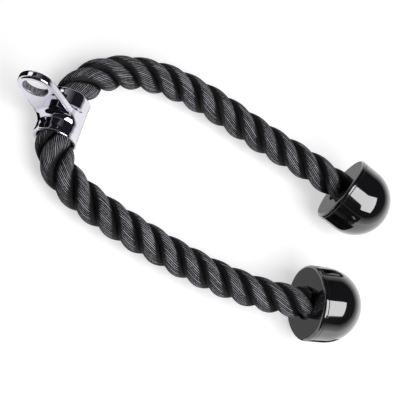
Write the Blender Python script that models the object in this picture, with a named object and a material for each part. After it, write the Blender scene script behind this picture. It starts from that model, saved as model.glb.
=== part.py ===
"""Pull-down rope for a cable machine, lying on the floor.

One thick rope runs through the collar of a cast fitting with an eye, and each end is held in a round two-piece cap.
Metres, +Z up. The legs of the rope run towards +X, and the rope passes through the collar along Y.
"""

import math

import bmesh
import bpy
import numpy as np
from mathutils import Euler, Matrix, Vector

# Clearances
FACE_GAP = 0.0003  # between pieces that seat on each other
CUT_OVERRUN = 0.004  # how far a cutter runs past what it cuts
MERGE_DISTANCE = 0.000001
ROUND_SIDES = 36

# Rope
ROPE_DIAMETER = 0.028
ROPE_SIDES_SETTING = 4
END_LEAD = 0.0005  # the first and last run of a stretch is this short, which sets its end square
BEND_STEPS = 9
LEG_STEPS = 18

# Collar of the fitting: the rope runs through it along Y
COLLAR_X = -0.14545
COLLAR_Y = -0.0114
COLLAR_RADIUS = 0.01875
COLLAR_HALF_LENGTH = 0.0215
RIM_FLARE = 0.0006
RIM_FLARE_LENGTH = 0.006
RIM_ROUNDING = 0.001
FLAT_HALF_WIDTH = 0.018
BORE_CLEARANCE = 0.0004
BELL_DEPTH = 0.0095
BELL_FLARE = 0.0028

# Lug of the fitting: a plate with a round eye, standing on the collar
LUG_TILT_DEGREES = 39
LUG_THICKNESS = 0.0072
LUG_ARCH_RADIUS = 0.0158
LUG_FOOT_HALF_WIDTH = 0.0179
LUG_EDGE_ROUNDING = 0.0018
LUG_ROOT = 0.002  # how deep the plate's foot is sunk in the collar
FOOT_FILLET = 0.006
EYE_OFFSET = 0.0515
EYE_RADIUS = 0.0105
EYE_LIP = 0.0012

# End caps: a flat lid and a round-ended shell, turned about the rope
CAP_RADIUS = 0.036
LID_THICKNESS = 0.0045
LID_EDGE_ROUNDING = 0.0028
LID_HOLE_CLEARANCE = 0.0016
LID_HOLE_ROUNDING = 0.001
SKIRT_DEPTH = 0.006
SKIRT_WALL = 0.0025
SHELL_WALL = 0.0035
SHELL_CENTRE = 0.0204  # from the lid's flat face to the centre of the round end
SHELL_MOUTH_ROUNDING = 0.0005

# What holds a cap on the rope: washer, crimped sleeve and the rope's melted end
WASHER_REACH_SHARE = 0.62987  # of the room from the rope to the lid's skirt
WASHER_THICKNESS = 0.003
SLEEVE_WALL = 0.0032
SLEEVE_LENGTH = 0.016
SLEEVE_ROUNDING = 0.001
MELTED_FLARE = 0.0028
MELTED_LENGTH = 0.005
ROPE_END_LEAD = 0.001  # how far the held end of the rope stands out of the lid

# Route of each leg, from the collar's centre in X and Y and from the floor in Z
RIGHT_ROUTE = [
    (0.0025, -0.0264, 0.01935),
    (0.0098, -0.0390, 0.01935),
    (0.0166, -0.0452, 0.01935),
    (0.0260, -0.0503, 0.01935),
    (0.0436, -0.0561, 0.01935),
    (0.0633, -0.0597, 0.01935),
    (0.0931, -0.0632, 0.01970),
    (0.1230, -0.0655, 0.02040),
    (0.1530, -0.0671, 0.02170),
    (0.1830, -0.0675, 0.02360),
    (0.2130, -0.0662, 0.02620),
    (0.2420, -0.0630, 0.02960),
    (0.2600, -0.0595, 0.03200),
]
RIGHT_END = (0.2815, -0.0543)
RIGHT_HEADING_DEGREES = 16.5
RIGHT_SLOPE_DEGREES = 8.5
RIGHT_BEND_LENGTH = 0.058
RIGHT_PIVOT_ALONG = 0.026

LEFT_ROUTE = [
    (0.0019, 0.0264, 0.01935),
    (0.0062, 0.0393, 0.01935),
    (0.0119, 0.0498, 0.01935),
    (0.0180, 0.0574, 0.01935),
    (0.0249, 0.0636, 0.01935),
    (0.0410, 0.0748, 0.01935),
    (0.0589, 0.0831, 0.01935),
    (0.0781, 0.0890, 0.01940),
    (0.0978, 0.0923, 0.01955),
    (0.1277, 0.0936, 0.02000),
    (0.1577, 0.0921, 0.02090),
    (0.1876, 0.0895, 0.02220),
    (0.2175, 0.0874, 0.02430),
    (0.2474, 0.0856, 0.02730),
    (0.2700, 0.0827, 0.03050),
]
LEFT_END = (0.2918, 0.0775)
LEFT_HEADING_DEGREES = -17.5
LEFT_SLOPE_DEGREES = 12
LEFT_BEND_LENGTH = 0.075
LEFT_PIVOT_ALONG = 0.034

# Shares across and up the lug's plate at which its faces are built, closer near the rounded edge
COLUMN_SHARES = [0, 0.17, 0.33, 0.5, 0.65, 0.78, 0.87, 0.93, 0.97, 1]
ROW_SHARES = [0.12, 0.25, 0.4, 0.55, 0.7, 0.8, 0.87, 0.92, 0.95, 0.975, 0.99, 1]
FILLET_ANGLES = [90, 75, 60, 45, 30, 15, 0]
ROUNDING_STEPS = 3
BELL_STEPS = 5
DOME_STEPS = 9

ROPE_RADIUS = ROPE_DIAMETER / 2
COLLAR_HEIGHT = COLLAR_RADIUS + RIM_FLARE
BORE_RADIUS = ROPE_RADIUS + BORE_CLEARANCE
BORE_HALF_LENGTH = COLLAR_HALF_LENGTH - BELL_DEPTH


def clear_scene():
    for old in list(bpy.data.objects):
        bpy.data.objects.remove(old)


def surface(name, colour, metallic, roughness):
    """A material with one Principled BSDF."""
    made = bpy.data.materials.new(name)
    made.use_nodes = True
    shader = made.node_tree.nodes["Principled BSDF"]
    shader.inputs["Base Color"].default_value = (*colour, 1)
    shader.inputs["Metallic"].default_value = metallic
    shader.inputs["Roughness"].default_value = roughness
    made.diffuse_color = (*colour, 1)
    return made


def axis_empty(name, place, parent=None):
    """An empty on a joint's axis."""
    empty = bpy.data.objects.new(name, None)
    bpy.context.scene.collection.objects.link(empty)
    put(empty, place, parent)
    return empty


def put(obj, place, parent=None, turn=None):
    """Places an object in world coordinates under a parent that isn't turned."""
    obj.parent = parent
    carried = Vector((0, 0, 0))
    while parent is not None:
        carried += parent.location
        parent = parent.parent
    obj.location = Vector(place) - carried
    if turn is not None:
        obj.rotation_euler = turn


def object_of(name, bm, material):
    """The bmesh as an object, smooth but for its real edges."""
    bmesh.ops.remove_doubles(bm, verts=bm.verts, dist=MERGE_DISTANCE)
    bmesh.ops.recalc_face_normals(bm, faces=bm.faces)
    mesh = bpy.data.meshes.new(name)
    bm.to_mesh(mesh)
    bm.free()
    mesh.shade_smooth()
    mesh.set_sharp_from_angle(angle=math.radians(35))
    made = bpy.data.objects.new(name, mesh)
    bpy.context.scene.collection.objects.link(made)
    if material:
        mesh.materials.append(material)
    return made


def turned(name, outline, material=None, along_y=False):
    """A closed outline of (radius, height) points turned once about Z, or about Y."""
    bm = bmesh.new()
    points = [bm.verts.new((radius, 0, height)) for radius, height in outline]
    edges = []
    for first, second in zip(points, points[1:] + points[:1]):
        if first.co.x > MERGE_DISTANCE or second.co.x > MERGE_DISTANCE:
            edges.append(bm.edges.new((first, second)))
    bmesh.ops.spin(
        bm,
        geom=points + edges,
        cent=(0, 0, 0),
        axis=(0, 0, 1),
        angle=math.tau,
        steps=ROUND_SIDES,
        use_merge=True,
    )
    if along_y:
        bm.transform(Matrix.Rotation(math.radians(-90), 4, "X"))
    return object_of(name, bm, material)


def arc(radius_at, height_at, radius, start, end, steps, depth=None):
    """Points on an arc about (radius_at, height_at), from the start angle to the end angle in degrees."""
    depth = radius if depth is None else depth
    angles = np.radians(np.linspace(start, end, steps + 1))
    return [(radius_at + radius * math.cos(a), height_at + depth * math.sin(a)) for a in angles]


def cutter(obj):
    """A shape that only cuts."""
    obj.hide_render = True
    obj.display_type = "WIRE"
    return obj


def boolean(obj, other, operation):
    step = obj.modifiers.new(other.name, "BOOLEAN")
    step.operation = operation
    step.solver = "EXACT"
    step.object = other


# Fitting
def collar_top(across):
    """Height of the collar's round surface over its axis, at a distance across."""
    return math.sqrt(COLLAR_RADIUS**2 - across**2)


def from_edge(across, up):
    """Distance of a point of the plate from the plate's outline."""
    if up > EYE_OFFSET:
        return max(LUG_ARCH_RADIUS - math.hypot(across, up - EYE_OFFSET), 0)
    low = collar_top(LUG_FOOT_HALF_WIDTH) + FOOT_FILLET
    share = min(max((up - low) / (EYE_OFFSET - low), 0), 1)
    half = LUG_FOOT_HALF_WIDTH + (LUG_ARCH_RADIUS - LUG_FOOT_HALF_WIDTH) * share
    return max(half - abs(across), 0)


def half_thickness(across, up):
    """Half the plate's thickness: it flares into the collar, and rounds off at its edge."""
    over = min(max(up - collar_top(across), 0), FOOT_FILLET)
    flare = FOOT_FILLET - math.sqrt(FOOT_FILLET**2 - (FOOT_FILLET - over) ** 2)
    inside = min(from_edge(across, up), LUG_EDGE_ROUNDING)
    drop = LUG_EDGE_ROUNDING - math.sqrt(LUG_EDGE_ROUNDING**2 - (LUG_EDGE_ROUNDING - inside) ** 2)
    return LUG_THICKNESS / 2 + flare - drop


def lug_rows():
    """Rows of (across, up) points: up the foot's fillet, then up the plate to its arch."""
    shares = [-s for s in reversed(COLUMN_SHARES[1:])] + COLUMN_SHARES
    feet = [(share * LUG_FOOT_HALF_WIDTH, collar_top(share * LUG_FOOT_HALF_WIDTH)) for share in shares]
    rows = [[(across, up - LUG_ROOT) for across, up in feet]]
    for angle in FILLET_ANGLES:
        rise = FOOT_FILLET * (1 - math.sin(math.radians(angle)))
        rows.append([(across, up + rise) for across, up in feet])
    arch = []
    for share in shares:
        angle = math.radians(90) * share
        arch.append((LUG_ARCH_RADIUS * math.sin(angle), EYE_OFFSET + LUG_ARCH_RADIUS * math.cos(angle)))
    base = rows[-1]
    for share in ROW_SHARES:
        rows.append([(a + (c - a) * share, b + (d - b) * share) for (a, b), (c, d) in zip(base, arch)])
    return rows


def lug():
    """The plate as two faces, one each side of the middle, joined round their edge."""
    bm = bmesh.new()
    rows = lug_rows()
    sides = []
    for side in (-1, 1):
        grid = [[bm.verts.new((a, side * half_thickness(a, u), u)) for a, u in row] for row in rows]
        for low, high in zip(grid, grid[1:]):
            for k in range(len(low) - 1):
                bm.faces.new((low[k], low[k + 1], high[k + 1], high[k]))
        rim = grid[0] + [row[-1] for row in grid[1:-1]]
        rim += list(reversed(grid[-1])) + [row[0] for row in reversed(grid[1:-1])]
        sides.append(rim)
    front, back = sides
    for k in range(len(front)):
        after = (k + 1) % len(front)
        bm.faces.new((front[k], front[after], back[after], back[k]))
    return object_of("lug_plate", bm, None)


def collar_outline():
    """Half of the collar's outer outline along its length, mirrored: a round body that flares a little at each rim."""
    start = COLLAR_HALF_LENGTH - RIM_ROUNDING - RIM_FLARE_LENGTH
    half = []
    for share in np.linspace(0, 1, BELL_STEPS + 1):
        rise = RIM_FLARE * share * share * (3 - 2 * share)
        half.append((COLLAR_RADIUS + rise, start + RIM_FLARE_LENGTH * share))
    top = COLLAR_RADIUS + RIM_FLARE
    half += arc(top - RIM_ROUNDING, COLLAR_HALF_LENGTH - RIM_ROUNDING, RIM_ROUNDING, 0, 90, ROUNDING_STEPS)[1:]
    half.append((0, COLLAR_HALF_LENGTH))
    return [(r, -h) for r, h in reversed(half)] + half


def bore_outline():
    """The bore: straight in the middle, with a bell mouth at each end where the rope turns out."""
    half = arc(BORE_RADIUS + BELL_FLARE, BORE_HALF_LENGTH, BELL_FLARE, 180, 90, BELL_STEPS, BELL_DEPTH)
    half.append((BORE_RADIUS + BELL_FLARE, COLLAR_HALF_LENGTH + CUT_OVERRUN))
    half.append((0, COLLAR_HALF_LENGTH + CUT_OVERRUN))
    return [(r, -h) for r, h in reversed(half)] + half


def eye_outline():
    """The eye's cutter: a straight hole whose lips are rounded off at both faces."""
    low = LUG_THICKNESS / 2 - EYE_LIP
    half = arc(EYE_RADIUS + EYE_LIP, low, EYE_LIP, 180, 90, ROUNDING_STEPS)
    half.append((EYE_RADIUS + EYE_LIP, LUG_THICKNESS / 2 + CUT_OVERRUN))
    half.append((0, LUG_THICKNESS / 2 + CUT_OVERRUN))
    return [(r, -h) for r, h in reversed(half)] + half


def flats_block():
    """A block as wide as the collar across its side flats."""
    bm = bmesh.new()
    bmesh.ops.create_cube(bm, size=2)
    reach = EYE_OFFSET + LUG_ARCH_RADIUS + CUT_OVERRUN
    bmesh.ops.scale(bm, vec=(FLAT_HALF_WIDTH, COLLAR_HALF_LENGTH + CUT_OVERRUN, reach), verts=bm.verts)
    return object_of("side_flats", bm, None)


def fitting(chrome):
    """Collar and lug as one casting, with its bore and its eye cut through."""
    casting = turned("fitting", collar_outline(), chrome, along_y=True)
    plate = cutter(lug())
    flats = cutter(flats_block())
    bore = cutter(turned("collar_bore", bore_outline(), along_y=True))
    eye = cutter(turned("eye_hole", eye_outline(), along_y=True))
    lean = Euler((0, -math.radians(90 - LUG_TILT_DEGREES), 0))
    place = Vector((COLLAR_X, COLLAR_Y, COLLAR_HEIGHT))
    put(casting, place, None, lean)
    for piece in (plate, flats, bore):
        put(piece, place, None, lean)
    up = lean.to_matrix() @ Vector((0, 0, 1))
    put(eye, place + EYE_OFFSET * up, None, lean)
    boolean(casting, plate, "UNION")
    boolean(casting, flats, "INTERSECT")
    boolean(casting, bore, "DIFFERENCE")
    boolean(casting, eye, "DIFFERENCE")
    return casting


# Rope
def smooth_curve(points, start, end):
    """A cubic spline through the points with the given end directions, as closely read points and distances along it."""
    points = np.array(points, float)
    runs = np.linalg.norm(np.diff(points, axis=0), axis=1)
    knots = np.concatenate([[0], np.cumsum(runs)])
    count = len(points)
    system = np.zeros((count, count))
    right = np.zeros((count, 3))
    system[0, 0] = 1
    right[0] = start
    system[-1, -1] = 1
    right[-1] = end
    for k in range(1, count - 1):
        before, after = runs[k - 1], runs[k]
        system[k, k - 1] = after
        system[k, k] = 2 * (before + after)
        system[k, k + 1] = before
        leaving = (points[k + 1] - points[k]) / after
        arriving = (points[k] - points[k - 1]) / before
        right[k] = 3 * (after * arriving + before * leaving)
    slopes = np.linalg.solve(system, right)
    read = []
    for at in np.linspace(0, knots[-1], 1200):
        k = min(np.searchsorted(knots, at, side="right") - 1, count - 2)
        run = runs[k]
        t = (at - knots[k]) / run
        place = (2 * t**3 - 3 * t**2 + 1) * points[k] + (3 * t**2 - 2 * t**3) * points[k + 1]
        place = place + (t**3 - 2 * t**2 + t) * run * slopes[k] + (t**3 - t**2) * run * slopes[k + 1]
        read.append(place)
    read = np.array(read)
    along = np.concatenate([[0], np.cumsum(np.linalg.norm(np.diff(read, axis=0), axis=1))])
    return read, along


def point_at(curve, distance):
    read, along = curve
    return Vector([float(np.interp(distance, along, read[:, k])) for k in range(3)])


def rope_stretch(name, curve, start, end, steps, material, pivot):
    """A tube along part of a curve, whose ends are square to it."""
    inner = np.linspace(start, end, steps + 1)[1:-1]
    distances = [start, start + END_LEAD, *inner, end - END_LEAD, end]
    data = bpy.data.curves.new(name, "CURVE")
    data.dimensions = "3D"
    data.bevel_depth = ROPE_RADIUS
    data.bevel_resolution = ROPE_SIDES_SETTING
    data.use_fill_caps = True
    spline = data.splines.new("POLY")
    spline.points.add(len(distances) - 1)
    spline.use_smooth = True
    origin = Vector(pivot)
    for point, distance in zip(spline.points, distances):
        point.co = (*(point_at(curve, distance) - origin), 1)
    data.materials.append(material)
    tube = bpy.data.objects.new(name, data)
    bpy.context.scene.collection.objects.link(tube)
    return tube


def rope_core(name, material):
    """The straight stretch of rope that the collar holds."""
    half = BORE_HALF_LENGTH - FACE_GAP
    return turned(name, [(0, -half), (ROPE_RADIUS, -half), (ROPE_RADIUS, half), (0, half)], material, along_y=True)


# End caps
def lid(name, material):
    """A flat disc with a rounded edge, a hole for the rope and a skirt that plugs into the shell."""
    hole = ROPE_RADIUS + LID_HOLE_CLEARANCE
    skirt = CAP_RADIUS - SHELL_WALL - FACE_GAP
    outline = arc(hole + LID_HOLE_ROUNDING, LID_HOLE_ROUNDING, LID_HOLE_ROUNDING, 180, 270, ROUNDING_STEPS)
    rounded = CAP_RADIUS - LID_EDGE_ROUNDING
    outline += arc(rounded, LID_EDGE_ROUNDING, LID_EDGE_ROUNDING, -90, 0, ROUNDING_STEPS + 2)
    outline += [
        (CAP_RADIUS, LID_THICKNESS),
        (skirt, LID_THICKNESS),
        (skirt, LID_THICKNESS + SKIRT_DEPTH),
        (skirt - SKIRT_WALL, LID_THICKNESS + SKIRT_DEPTH),
        (skirt - SKIRT_WALL, LID_THICKNESS),
        (hole, LID_THICKNESS),
    ]
    return turned(name, outline, material)


def shell(name, material):
    """The cap's round-ended shell, open towards the lid."""
    mouth = LID_THICKNESS + FACE_GAP
    inner = CAP_RADIUS - SHELL_WALL
    outline = [(inner, mouth)]
    outline += arc(CAP_RADIUS - SHELL_MOUTH_ROUNDING, mouth + SHELL_MOUTH_ROUNDING, SHELL_MOUTH_ROUNDING, -90, 0, 2)
    outline += arc(0, SHELL_CENTRE, CAP_RADIUS, 0, 90, DOME_STEPS)
    outline += arc(0, SHELL_CENTRE, inner, 90, 0, DOME_STEPS - 2)
    return turned(name, outline, material)


def washer(name, material):
    start = LID_THICKNESS + FACE_GAP
    inner = ROPE_RADIUS + FACE_GAP
    skirt = CAP_RADIUS - SHELL_WALL - FACE_GAP - SKIRT_WALL
    outer = inner + (skirt - inner) * WASHER_REACH_SHARE
    end = start + WASHER_THICKNESS
    return turned(name, [(inner, start), (outer, start), (outer, end), (inner, end)], material)


def sleeve_start():
    return LID_THICKNESS + WASHER_THICKNESS + 2 * FACE_GAP


def sleeve(name, material):
    """The metal sleeve crimped on the rope, which bears on the washer."""
    start = sleeve_start()
    inner = ROPE_RADIUS + FACE_GAP
    outer = inner + SLEEVE_WALL
    end = start + SLEEVE_LENGTH
    corner = outer - SLEEVE_ROUNDING
    outline = [(inner, start)]
    outline += arc(corner, start + SLEEVE_ROUNDING, SLEEVE_ROUNDING, -90, 0, 2)
    outline += arc(corner, end - SLEEVE_ROUNDING, SLEEVE_ROUNDING, 0, 90, 2)
    outline.append((inner, end))
    return turned(name, outline, material)


def rope_end(name, material):
    """The rope's held end, through the lid and the sleeve, with its fibres melted into a head."""
    head = sleeve_start() + SLEEVE_LENGTH + FACE_GAP
    wide = ROPE_RADIUS + MELTED_FLARE
    top = head + MELTED_LENGTH
    outline = [
        (0, -ROPE_END_LEAD),
        (ROPE_RADIUS, -ROPE_END_LEAD),
        (ROPE_RADIUS, head),
        (wide, head),
    ]
    outline += arc(wide - MELTED_FLARE, top - MELTED_FLARE, MELTED_FLARE, 0, 90, ROUNDING_STEPS)
    outline.append((0, top))
    return turned(name, outline, material)


def face_height(slope):
    """Height of a lid's centre above the floor, where the lid's rounded edge rests on the floor."""
    rounded = CAP_RADIUS - LID_EDGE_ROUNDING
    return rounded * math.cos(slope) + LID_EDGE_ROUNDING * (1 - math.sin(slope))


def leg(side, sign, route, end, heading, slope, bend_length, pivot_along, looks, core_axis):
    """One leg of the rope from the collar to its cap, with all that the cap holds."""
    rope, gloss, steel = looks
    collar = Vector((COLLAR_X, COLLAR_Y, 0))
    heading, slope = math.radians(heading), math.radians(slope)
    axis = Vector((math.cos(slope) * math.cos(heading), math.cos(slope) * math.sin(heading), math.sin(slope)))
    face = collar + Vector((*end, face_height(slope)))
    start = collar + Vector((0, sign * BORE_HALF_LENGTH, COLLAR_HEIGHT))
    stop = face - axis * (ROPE_END_LEAD + FACE_GAP)
    places = [start, *[collar + Vector(point) for point in route], stop]
    curve = smooth_curve(places, (0, sign, 0), axis)
    length = curve[1][-1]
    pivot = point_at(curve, pivot_along)
    hinge = axis_empty(f"{side}_leg_axis", pivot, core_axis)
    bend = rope_stretch(f"rope_{side}_bend", curve, 0, bend_length, BEND_STEPS, rope, core_axis.location)
    put(bend, core_axis.location, core_axis)
    grip = rope_stretch(f"rope_{side}_leg", curve, bend_length + FACE_GAP, length, LEG_STEPS, rope, pivot)
    put(grip, pivot, hinge)
    turn = axis.to_track_quat("Z", "Y").to_euler()
    for piece in (
        lid(f"{side}_cap_lid", gloss),
        shell(f"{side}_cap_shell", gloss),
        washer(f"{side}_cap_washer", steel),
        sleeve(f"{side}_rope_sleeve", steel),
        rope_end(f"{side}_rope_end", rope),
    ):
        put(piece, face, hinge, turn)


def main():
    clear_scene()
    chrome = surface("polished chrome", (0.82, 0.82, 0.84), 1, 0.06)
    rope = surface("black rope", (0.02, 0.02, 0.022), 0, 0.55)
    gloss = surface("gloss black plastic", (0.012, 0.012, 0.013), 0, 0.08)
    steel = surface("plain steel", (0.6, 0.6, 0.6), 1, 0.35)
    looks = (rope, gloss, steel)
    fitting(chrome)
    place = Vector((COLLAR_X, COLLAR_Y, COLLAR_HEIGHT))
    core_axis = axis_empty("rope_axis", place)
    put(rope_core("rope_core", rope), place, core_axis)
    leg(
        "right",
        -1,
        RIGHT_ROUTE,
        RIGHT_END,
        RIGHT_HEADING_DEGREES,
        RIGHT_SLOPE_DEGREES,
        RIGHT_BEND_LENGTH,
        RIGHT_PIVOT_ALONG,
        looks,
        core_axis,
    )
    leg(
        "left",
        1,
        LEFT_ROUTE,
        LEFT_END,
        LEFT_HEADING_DEGREES,
        LEFT_SLOPE_DEGREES,
        LEFT_BEND_LENGTH,
        LEFT_PIVOT_ALONG,
        looks,
        core_axis,
    )


main()
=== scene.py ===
"""Looks of a pull-down rope for a cable machine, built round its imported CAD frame.

It is laid out as a Blender add-on and run as a script: the classes are registered, and the
operators make the stage, the rope, the cast fitting, the end caps and what holds them. Every size
is in metres, in the CAD's frame.
"""

import math

import bpy
import numpy as np
from mathutils import Matrix


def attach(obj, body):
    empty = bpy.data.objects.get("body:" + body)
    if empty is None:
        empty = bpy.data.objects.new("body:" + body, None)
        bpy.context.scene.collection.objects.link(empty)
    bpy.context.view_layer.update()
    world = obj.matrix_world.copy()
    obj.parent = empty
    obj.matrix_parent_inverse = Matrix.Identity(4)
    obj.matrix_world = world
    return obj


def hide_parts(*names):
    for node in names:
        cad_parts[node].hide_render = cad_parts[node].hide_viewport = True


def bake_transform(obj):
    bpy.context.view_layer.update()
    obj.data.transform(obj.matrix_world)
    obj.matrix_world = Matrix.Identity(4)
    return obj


bl_info = {
    "name": "Pull-down rope",
    "version": (1, 0, 0),
    "blender": (4, 5, 0),
    "location": "View3D > Sidebar > Rope",
    "description": "Makes the looks of a pull-down rope with a cast fitting and two end caps",
    "category": "Object",
}

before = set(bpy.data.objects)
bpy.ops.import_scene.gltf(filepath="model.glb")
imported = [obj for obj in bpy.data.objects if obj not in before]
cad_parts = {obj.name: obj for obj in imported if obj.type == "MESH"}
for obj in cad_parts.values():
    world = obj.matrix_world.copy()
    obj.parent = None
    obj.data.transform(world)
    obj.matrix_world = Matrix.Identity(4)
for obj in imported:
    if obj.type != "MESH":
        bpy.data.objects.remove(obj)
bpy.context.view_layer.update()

# Camera, from the photograph's own perspective
CAMERA_PLACE = (-0.36384, -0.38108, 0.7194)
CAMERA_RIGHT = (0.79067, 0.25094, 0.55845)
CAMERA_DOWN = (0.43231, -0.87472, -0.21902)
CAMERA_FORWARD = (0.43353, 0.41460, -0.80010)
CAMERA_LENS = 81.5

# Sizes of the CAD model that the pieces share
COLLAR_CENTRE = np.array([-0.14545, -0.0114, 0.01935])
ROPE_DIAMETER = 0.028
FACE_GAP = 0.0003  # between the faces of neighbouring pieces
BORE_HALF_LENGTH = 0.012
LUG_TILT_DEGREES = 39
SHELL_CENTRE = 0.0204  # from the lid's face to the centre of the shell's round end
SHELL_WALL = 0.0035
LID_THICKNESS = 0.0045
LID_EDGE_ROUNDING = 0.0028
LID_HOLE_CLEARANCE = 0.0016
SKIRT_DEPTH = 0.006
SKIRT_WALL = 0.0025
WASHER_REACH_SHARE = 0.62987  # of the room from the rope to the lid's skirt
WASHER_THICKNESS = 0.003
SLEEVE_WALL = 0.0032
SLEEVE_LENGTH = 0.016
CRIMPS = 6
CRIMP_DEPTH = 0.0007
CRIMP_REACH = 0.0045  # along the sleeve
MELTED_FLARE = 0.0028
MELTED_LENGTH = 0.005
MELTED_FLAT_RADIUS = 0.006
LUMP_DEPTH = 0.0004
ROPE_END_LEAD = 0.001  # from the end of a leg's route to the lid's face

# How fine the meshes are
ROUTE_SAMPLES = 1200
COLLAR_SAMPLES = 12
CAP_SAMPLES = 30
STRANDS = 3
CAP_SIDES = 160
HARDWARE_SIDES = 96
FLOOR_SIDES = 96

# Height of a yarn's valley, flanks and top, in reliefs: one column of the mesh for each
YARN_PROFILE = np.array([-1.0, 0.45, 1.0, 0.45])
# Range of the yarns' own heights, spread of their slow lift, and rows between its steps
OWN_HEIGHTS = (0.7, 1.15)
LIFT_SPREAD = 0.35
LIFT_ROWS = 14
# From one strand's first yarn number to the next one's
YARN_NUMBERS_APART = 50
# Up to the first place of a leg the yarns run along the rope, and from the second at the full angle
YARNS_STRAIGHT_TO = 0.05
YARNS_SLANTED_FROM = 0.25
# Where a strand's painted sheen starts, out from the rope's line, and the range until it is full,
# both as shares of the rope's radius; nearer the line the grooves get painted shade
SHEEN_FROM = 0.74
SHEEN_OVER = 0.23
# The painted sheen's power at places along a leg: low beside the collar, where the yarns show
# all round
SHEEN_PLACES, SHEEN_POWERS = (0.03, 0.08), (0.35, 1)

# The rope's thickness as (place, share of its free thickness), from the collar's middle and from
# where the cap's lid starts. It is squeezed in both, and swells where it comes out of the collar.
THICKNESS_AT_COLLAR = [(0, 0.90), (0.012, 0.90), (0.0165, 0.925), (0.019, 0.975)]
THICKNESS_AT_COLLAR += [(0.0215, 1.05), (0.0245, 1.08), (0.034, 1.04), (0.048, 1.0)]
THICKNESS_AT_LID = [(-0.002, 1.0), (0.0015, 0.98), (0.0045, 0.905)]

# Route of each leg, from the collar's centre in X and Y and from the floor in Z, as in the CAD
# model, where it ends and with what heading and slope in degrees, how long its bend is, and the
# angle and the loosening per metre of its strands
LEGS = {
    "right": {
        "sign": -1,
        "route": [
            (0.0025, -0.0264, 0.01935), (0.0098, -0.0390, 0.01935),
            (0.0166, -0.0452, 0.01935), (0.0260, -0.0503, 0.01935),
            (0.0436, -0.0561, 0.01935), (0.0633, -0.0597, 0.01935),
            (0.0931, -0.0632, 0.01970), (0.1230, -0.0655, 0.02040),
            (0.1530, -0.0671, 0.02170), (0.1830, -0.0675, 0.02360),
            (0.2130, -0.0662, 0.02620), (0.2420, -0.0630, 0.02960),
            (0.2600, -0.0595, 0.03200),
        ],
        "end": (0.2815, -0.0543), "heading": 16.5, "slope": 8.5,
        "bend": 0.058, "turn": -0.764, "loosening": 0.17,
    },
    "left": {
        "sign": 1,
        "route": [
            (0.0019, 0.0264, 0.01935), (0.0062, 0.0393, 0.01935),
            (0.0119, 0.0498, 0.01935), (0.0180, 0.0574, 0.01935),
            (0.0249, 0.0636, 0.01935), (0.0410, 0.0748, 0.01935),
            (0.0589, 0.0831, 0.01935), (0.0781, 0.0890, 0.01940),
            (0.0978, 0.0923, 0.01955), (0.1277, 0.0936, 0.02000),
            (0.1577, 0.0921, 0.02090), (0.1876, 0.0895, 0.02220),
            (0.2175, 0.0874, 0.02430), (0.2474, 0.0856, 0.02730),
            (0.2700, 0.0827, 0.03050),
        ],
        "end": (0.2918, 0.0775), "heading": -17.5, "slope": 12,
        "bend": 0.075, "turn": -1.046, "loosening": 0.297,
    },
}


# Settings
def length(name, description, default):
    """A length that a user can change."""
    return bpy.props.FloatProperty(
        name=name, description=description, default=default, min=0, unit="LENGTH", precision=5
    )


def colour(name, description, default):
    """A colour that a user can change."""
    return bpy.props.FloatVectorProperty(
        name=name, description=description, default=default, min=0, max=1, size=3, subtype="COLOR"
    )


def share(name, description, default):
    """A share from 0 to 1 that a user can change."""
    return bpy.props.FloatProperty(
        name=name, description=description, default=default, min=0, max=1, subtype="FACTOR"
    )


class CastingSettings(bpy.types.PropertyGroup):
    """Sizes and finish of the cast fitting"""

    collar_radius: length("Collar radius", "Outer radius of the collar", 0.01875)
    collar_half_length: length("Collar half length", "Half the collar's length", 0.0215)
    rim_flare: length("Rim flare", "How far the collar widens at each rim", 0.0006)
    rim_flare_length: length("Rim flare length", "From a rim to where it widens", 0.006)
    rim_rounding: length("Rim rounding", "Rounding of the collar's rims", 0.001)
    flat_rounding: length("Flat rounding", "Rounding along the edges of the side flats", 0.0014)
    bore_radius: length("Bore radius", "Radius of the straight part of the bore", 0.0144)
    bell_depth: length("Bell depth", "Depth of each bell mouth", 0.0095)
    bell_flare: length("Bell flare", "How far each bell mouth widens", 0.0028)
    bell_rounding: length("Bell rounding", "Rounding of the bell mouth's lip", 0.0005)
    lug_thickness: length("Lug thickness", "Thickness of the lug's plate", 0.0072)
    lug_arch_radius: length("Lug arch radius", "Radius of the lug's round top", 0.0158)
    lug_foot_half_width: length("Lug foot half width", "Half the lug's width at its foot", 0.0179)
    lug_foot_height: length("Lug foot height", "From the bore's axis to the lug's foot", 0.0116)
    lug_edge_rounding: length("Lug edge rounding", "Rounding along the lug's outline", 0.0018)
    foot_fillet: length("Foot fillet", "Radius of the fillet between lug and collar", 0.006)
    eye_offset: length("Eye offset", "From the bore's axis to the eye's centre", 0.0515)
    eye_radius: length("Eye radius", "Radius of the eye", 0.0105)
    eye_lip: length("Eye lip", "Rounding of the eye's edges", 0.0012)
    net_step: length("Net step", "Size of the faces of the casting's mesh", 0.00052)
    tint: colour("Chrome colour", "Colour of the polished plating", (0.70, 0.69, 0.76))
    roughness: share("Chrome roughness", "Roughness of the polished plating", 0.045)


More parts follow.
